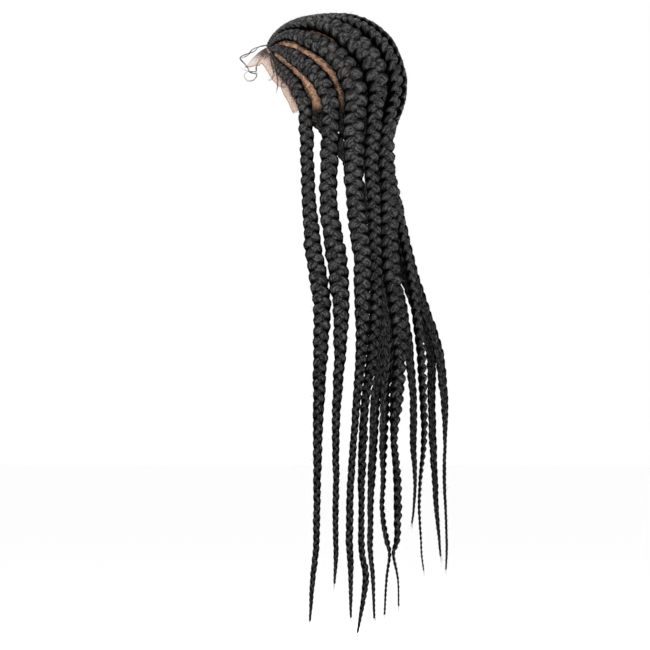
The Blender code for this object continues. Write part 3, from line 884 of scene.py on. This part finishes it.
t.links.new(hairs, joined.inputs[0])
real = node(t, "GeometryNodeRealizeInstances", {"Geometry": joined.outputs[0]}).outputs[0]
dressed = node(t, "GeometryNodeSetMaterial", {"Geometry": real, "Material": plaiting_in["Hair"]}).outputs[0]
t.links.new(dressed, plaiting_out["Plait"])


def grow(piece, tree, **values):
    """Runs a Geometry Nodes tree on a piece once and keeps the plain mesh that it makes."""
    modifier = piece.modifiers.new("grow", "NODES")
    modifier.node_group = tree
    for item in tree.interface.items_tree:
        key = item.name.lower().replace(" ", "_")
        if item.in_out == "INPUT" and key in values:
            modifier[item.identifier] = values[key]
    ready = piece.evaluated_get(bpy.context.evaluated_depsgraph_get())
    mesh = bpy.data.meshes.new_from_object(ready)
    piece.modifiers.remove(modifier)
    old = piece.data
    piece.data = mesh
    bpy.data.meshes.remove(old)
    mesh.name = piece.name
    return piece


# Fibre: clumps and single hairs that run along a strand, with the crimp of set hair
fibres, fibres_in, fibres_out = new_group(
    "crimped_fibre",
    "ShaderNodeTree",
    (
        ("Fibre", "NodeSocketVector", None),
        ("Clump Width", "NodeSocketFloat", 0.0020),
        ("Crimp Length", "NodeSocketFloat", 0.0060),
        ("Crimp Depth", "NodeSocketFloat", 0.0005),
    ),
    (("Height", "NodeSocketFloat"), ("Light", "NodeSocketFloat"), ("Roughness", "NodeSocketFloat")),
)
t = fibres
parts = node(t, "ShaderNodeSeparateXYZ", {0: fibres_in["Fibre"]}).outputs
loose = noise(t, fibres_in["Fibre"], 160.0, 1.0)
phase = math_node(t, "DIVIDE", math_node(t, "MULTIPLY", parts[2], 2 * math.pi), fibres_in["Crimp Length"])
wave = math_node(t, "SINE", math_node(t, "MULTIPLY_ADD", loose, 9.0, phase))
wave = math_node(t, "MULTIPLY", wave, fibres_in["Crimp Depth"])
bent = node(t, "ShaderNodeCombineXYZ", {0: wave, 1: wave, 2: 0.0}).outputs[0]
bent = vector_node(t, "ADD", bent, fibres_in["Fibre"])
per_clump = math_node(t, "DIVIDE", 1.0, fibres_in["Clump Width"])
scaled = vector_node(t, "SCALE", vector_node(t, "MULTIPLY", bent, (1.0, 1.0, 0.26)), per_clump)
clumps = noise(t, scaled, 1.0, 3.0, 0.6)
singles = noise(t, vector_node(t, "MULTIPLY", scaled, (3.6, 3.6, 2.4)), 1.0, 2.0, 0.7)
height = math_node(t, "MULTIPLY_ADD", singles, 0.35, math_node(t, "MULTIPLY", clumps, 0.9))
t.links.new(height, fibres_out["Height"])
t.links.new(mapped(t, height, 0.57, 0.76), fibres_out["Light"])
t.links.new(mapped(t, singles, 0.3, 0.7, 0.62, 0.42), fibres_out["Roughness"])


def hair_material(name, dark, pale):
    """Near-black crimped fibre, painted light on the lobes' backs and painted shade in the joints low down.
    """
    material, tree, shader = new_material(name)
    pattern = node(tree, "ShaderNodeGroup", node_tree=fibres)
    tree.links.new(attribute(tree, "fibre", "Vector"), pattern.inputs["Fibre"])
    # Painted light on the backs of the lobes, painted shade in the joints where the strands dive under
    painted_light_mask = attribute(tree, "painted_light_mask")
    streak = math_node(tree, "MULTIPLY_ADD", pattern.outputs["Light"], 0.85, 0.15)
    height = node(tree, "ShaderNodeTexCoord").outputs["Object"]
    height = node(tree, "ShaderNodeSeparateXYZ", {0: height}).outputs[2]
    # The painted light fades lower down, so the plaits grow darker towards the bottom
    tight = mapped(tree, height, -0.62, -0.30, 1.7, 1.0)
    amount = math_node(tree, "POWER", math_node(tree, "MULTIPLY", streak, painted_light_mask), tight)
    tree.links.new(colour_mix(tree, amount, dark, pale), shader.inputs["Base Color"])
    # The painted shade in the joints also dims the reflection there
    painted_shade_gloss = math_node(tree, "MULTIPLY_ADD", amount, 0.16, 0.01)
    tree.links.new(painted_shade_gloss, shader.inputs["Specular IOR Level"])
    tree.links.new(pattern.outputs["Roughness"], shader.inputs["Roughness"])
    bump(tree, shader, pattern.outputs["Height"], 0.9, 0.0011)
    return material


# Hair colour in the painted shade of the joints and in the painted light on the backs of the lobes
HAIR_IN_PAINTED_SHADE = (0.0008, 0.0008, 0.0008, 1)
HAIR_IN_PAINTED_LIGHT = (0.060, 0.0575, 0.057, 1)
black_hair = hair_material("crimped_black_hair", HAIR_IN_PAINTED_SHADE, HAIR_IN_PAINTED_LIGHT)

for number, name in enumerate(PLAITS):
    plait = grow(braiding_line(name, FIRST_SEED + number), plaiting, seed=number, hair=black_hair)
    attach(plait, "root")
    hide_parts("cornrow_" + name, "braid_" + name)


# Loose hair. Single hairs knotted into the net: short ones drawn from each parting into the
# cornrow beside it, fine ones along the hairline, curled wisps left out at the forehead and the
# temples, and the thin ends that stick out of each sealed tip.
ROOT_HAIR_SPACING = 0.00060
ROOT_HAIR_REACH = 0.0050
ROOT_HAIR_RADIUS = 0.00022
HAIRLINE_HAIRS = 1500
HAIRLINE_HAIR_RADIUS = 0.00009
WISP_HAIR_RADIUS = 0.00019
TEMPLE_POINTS = 15
TIP_HAIRS = 14
TIP_HAIR_RADIUS = 0.00012
FINE_HAIR_DARK = (0.004, 0.003, 0.003, 1)
FINE_HAIR_BROWN = (0.055, 0.036, 0.026, 1)

# Root hairs, in shares of the cornrow's width: where they leave the net beside its middle line,
# and where they go in, nearer to that line and above the net
ROOT_LEAVES = 0.47
ROOT_GOES_IN = 0.38
ROOT_GOES_UP = 0.16

# Forehead wisps: x at the root, lean in x, hairs, spread, then y and z along it, in millimetres.
# Temple wisps: hairs, spread, then y and z.
FOREHEAD_WISPS = (
    (2, 2, 18, 0.40, (
        (-95, -36), (-106, -39), (-113, -45.5), (-121, -48.5), (-131, -52.5), (-134, -56.5), (-128, -63),
        (-122, -71), (-120, -76), (-114.5, -78), (-109, -79.5), (-113, -87), (-120, -89.5), (-125, -87.5),
        (-128, -81), (-125, -76.5), (-120, -75.5),
    )),
    (-6, -2, 12, 0.45, (
        (-95, -37), (-110, -40), (-118, -45), (-121, -50), (-128, -54), (-133, -56), (-129, -60),
    )),
    (7, 4, 9, 0.35, (
        (-97, -42), (-104, -54), (-109.5, -66), (-110, -75), (-116, -75.5), (-121, -75.5), (-129, -72),
        (-137, -67),
    )),
    (-9, -3, 7, 0.35, ((-97, -43), (-101, -53), (-107, -62), (-111, -70), (-110, -77), (-103, -75.5))),
)
TEMPLE_WISPS = (
    (7, 0.4, ((-84, -62), (-82, -72), (-80, -82), (-79, -92), (-80, -101), (-84, -108))),
    (5, 0.4, ((-90, -54), (-88, -66), (-85, -77), (-86, -84), (-90, -88), (-96, -88))),
    (9, 0.5, ((-68, -84), (-71, -90), (-74, -95), (-72, -99), (-68, -98), (-69, -94))),
)

fine_hair, tree, shader = new_material("fine_dark_hair")
place = node(tree, "ShaderNodeTexCoord").outputs["Object"]
shades = colour_mix(tree, noise(tree, place, 420.0, 1.0), FINE_HAIR_DARK, FINE_HAIR_BROWN)
tree.links.new(shades, shader.inputs["Base Color"])
shader.inputs["Roughness"].default_value = 0.55
shader.inputs["Specular IOR Level"].default_value = 0.2

spinning, spinning_in, spinning_out = new_group(
    "single_hairs",
    "GeometryNodeTree",
    (
        ("Lines", "NodeSocketGeometry", None),
        ("Radius", "NodeSocketFloat", TIP_HAIR_RADIUS),
        ("Hair", "NodeSocketMaterial", None),
    ),
    (("Hairs", "NodeSocketGeometry"),),
)
t = spinning
curve = node(t, "GeometryNodeMeshToCurve", {"Mesh": spinning_in["Lines"]}).outputs[0]
three = node(t, "GeometryNodeCurvePrimitiveCircle", {"Resolution": 3, "Radius": 1.0}, mode="RADIUS")
factor = t.nodes.new("GeometryNodeSplineParameter").outputs["Factor"]
taper = math_node(t, "MULTIPLY", math_node(t, "MULTIPLY_ADD", factor, -0.55, 1.0), spinning_in["Radius"])
hairs = node(
    t,
    "GeometryNodeCurveToMesh",
    {"Curve": curve, "Profile Curve": three.outputs[0], "Scale": taper, "Fill Caps": True},
).outputs[0]
hairs = node(t, "GeometryNodeSetShadeSmooth", {"Geometry": hairs}).outputs[0]
real = node(t, "GeometryNodeRealizeInstances", {"Geometry": hairs}).outputs[0]
dressed = node(t, "GeometryNodeSetMaterial", {"Geometry": real, "Material": spinning_in["Hair"]}).outputs[0]
t.links.new(dressed, spinning_out["Hairs"])


def hair_piece(name, lines, radius):
    """One mesh of many single hairs from their centre lines, each a list of points."""
    points = []
    edges = []
    for line in lines:
        start = len(points)
        points.extend(line)
        edges.extend((start + i, start + i + 1) for i in range(len(line) - 1))
    piece = add_piece(name, points, [], edges=edges)
    grow(piece, spinning, radius=radius, hair=fine_hair)
    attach(piece, "root")


def mirrored(lines):
    """Lines of the wearer's left with their mirror images."""
    return lines + [[np.array((-p[0], p[1], p[2])) for p in line] for line in lines]


def on_row(rows, f):
    """Place or direction at a share of the way along a cornrow's feet."""
    return np.array([np.interp(f * (len(rows) - 1), range(len(rows)), rows[:, k]) for k in range(3)])


rng = np.random.default_rng(7)
left_lines = []
middle_lines = []
for row, feet in cornrow_feet.items():
    along = unit(np.gradient(feet, axis=0))
    count = int(np.linalg.norm(np.diff(feet, axis=0), axis=1).sum() / ROOT_HAIR_SPACING)
    edge_width = WIDTHS["middle" if row == 6 else "left_%d" % row][0]
    for side in (-1, 1):
        for f in rng.uniform(0.02, 1.0, count):
            place = on_row(feet, f)
            run = on_row(along, f)
            width = cornrow_width(row, f, edge_width)
            normal = head_normal(*direction_of(place))
            across = side * np.cross(normal, run)
            reach = ROOT_HAIR_REACH * rng.uniform(0.15, 1.0) * min(1.0, width / 0.012)
            aside = across * (width * ROOT_LEAVES + reach)
            root = head_point(*direction_of(place + aside - run * reach * 0.5))
            azimuth, elevation = direction_of(root)
            if elevation < edge_elevation(math.degrees(azimuth)) + 0.01:
                continue
            root = root + normal * (CAP_WALL + 0.0001)
            tip = place + across * width * ROOT_GOES_IN + run * 0.001
            tip = tip + normal * (CAP_WALL + width * ROOT_GOES_UP)
            bend = (root + tip) / 2 + normal * rng.uniform(-0.0001, 0.0005)
            bend = bend + run * rng.uniform(-0.0004, 0.0004)
            (middle_lines if row == 6 else left_lines).append([root, bend, tip])
hair_piece("root_hairs", mirrored(left_lines) + middle_lines, ROOT_HAIR_RADIUS)

lines = []
for degrees in rng.uniform(-LACE_END_AZIMUTH, LACE_END_AZIMUTH, HAIRLINE_HAIRS):
    fraction = rng.uniform(0.02, 0.75) * rng.uniform(0.3, 1.0)
    lean = math.copysign(rng.uniform(0.5, 3.5), degrees)
    root = lace_point(degrees, fraction, LACE_WALL + 0.0004)
    bend = lace_point(degrees + lean * 0.4, fraction * 0.45, LACE_WALL + 0.0009)
    tip = lace_point(degrees + lean, -0.12, CAP_WALL + 0.0008)
    lines.append([root, bend, tip])
hair_piece("hairline_hairs", lines, HAIRLINE_HAIR_RADIUS)

lines = []
for root_x, lean, hairs_in_wisp, spread, table in FOREHEAD_WISPS:
    steps = 4 * len(table)
    path = through([(0, y / 1000, z / 1000) for y, z in table], steps)
    for _ in range(hairs_in_wisp):
        shift = rng.normal(0, 1, 3) * spread / 1000
        stop = rng.uniform(0.7, 1.0)
        line = []
        for i, (_, y, z) in enumerate(path[: int(steps * stop)]):
            f = i / (steps - 1)
            x = (root_x + lean * f) / 1000
            line.append(np.array((x, y, z)) + shift * (0.4 + f) + rng.normal(0, 0.00008, 3))
        lines.append(line)
temple_lines = []
for hairs_in_wisp, spread, table in TEMPLE_WISPS:
    last = TEMPLE_POINTS - 1
    feet = [head_point(*on_side(y / 1000, z / 1000, 0.003)) for y, z in table]
    path = through(feet, TEMPLE_POINTS)
    for _ in range(hairs_in_wisp):
        drift = rng.normal(0, 1) * spread / 1000
        stop = rng.uniform(0.75, 1.0)
        line = []
        for i, foot in enumerate(path[: max(6, int(TEMPLE_POINTS * stop))]):
            normal = head_normal(*direction_of(foot))
            ahead = unit(path[min(i + 1, last)] - path[max(i - 1, 0)])
            lifted = foot + normal * rng.uniform(0.0018, 0.0026)
            line.append(lifted + np.cross(normal, ahead) * drift * (0.5 + i / last))
        temple_lines.append(line)
hair_piece("curled_wisps", lines + mirrored(temple_lines), WISP_HAIR_RADIUS)

lines = []
for name in PLAITS:
    path = plait_path(name)[:, :3]
    ahead = unit(path[-1] - path[-12])
    for _ in range(TIP_HAIRS):
        start = path[-rng.integers(8, 30)] + rng.normal(0, 0.0005, 3)
        stray = ahead + rng.normal(0, 0.10, 3)
        length = rng.uniform(0.007, 0.020)
        end = start + stray * length + rng.normal(0, 0.0007, 3)
        lines.append([start, start + stray * length * 0.5, end])
hair_piece("tip_hairs", lines, TIP_HAIR_RADIUS)
